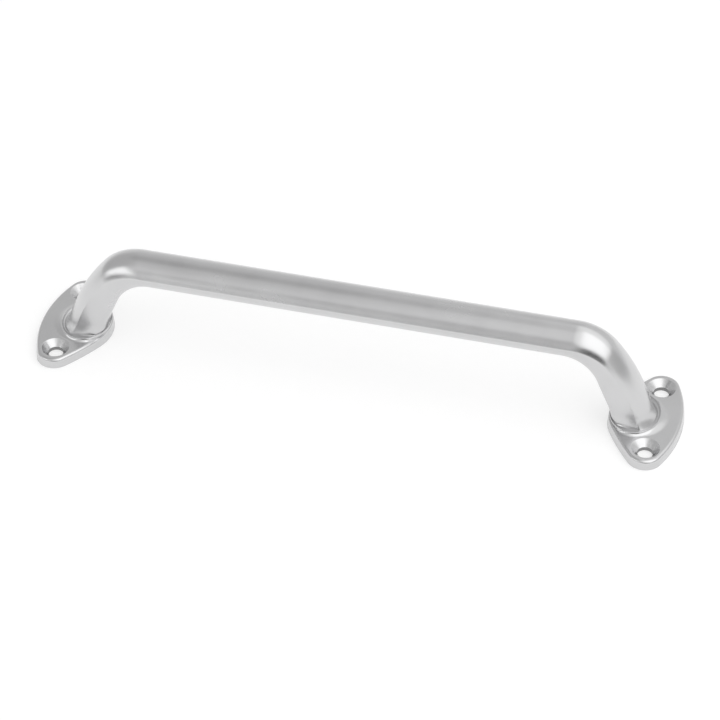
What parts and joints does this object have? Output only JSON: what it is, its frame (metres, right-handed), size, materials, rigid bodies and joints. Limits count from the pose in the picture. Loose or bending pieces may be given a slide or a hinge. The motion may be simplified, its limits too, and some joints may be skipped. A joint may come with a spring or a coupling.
{
  "type": "bow handle",
  "caption": "Cast aluminium bow handle with a rounded grip bar, sloping legs and pointed oval feet with countersunk screw holes.",
  "frame": {"origin": "on the mounting face, midway between the feet", "axes": "+X along the grip bar, +Y across the handle, +Z out of the mounting face towards the grip"},
  "size_m": [0.2302, 0.046, 0.0393],
  "materials": {
    "cast_aluminium": "satin as-cast aluminium, smoothed"
  },
  "bodies": {
    "root": {"handle": "cast_aluminium"}
  },
  "joints": []
}
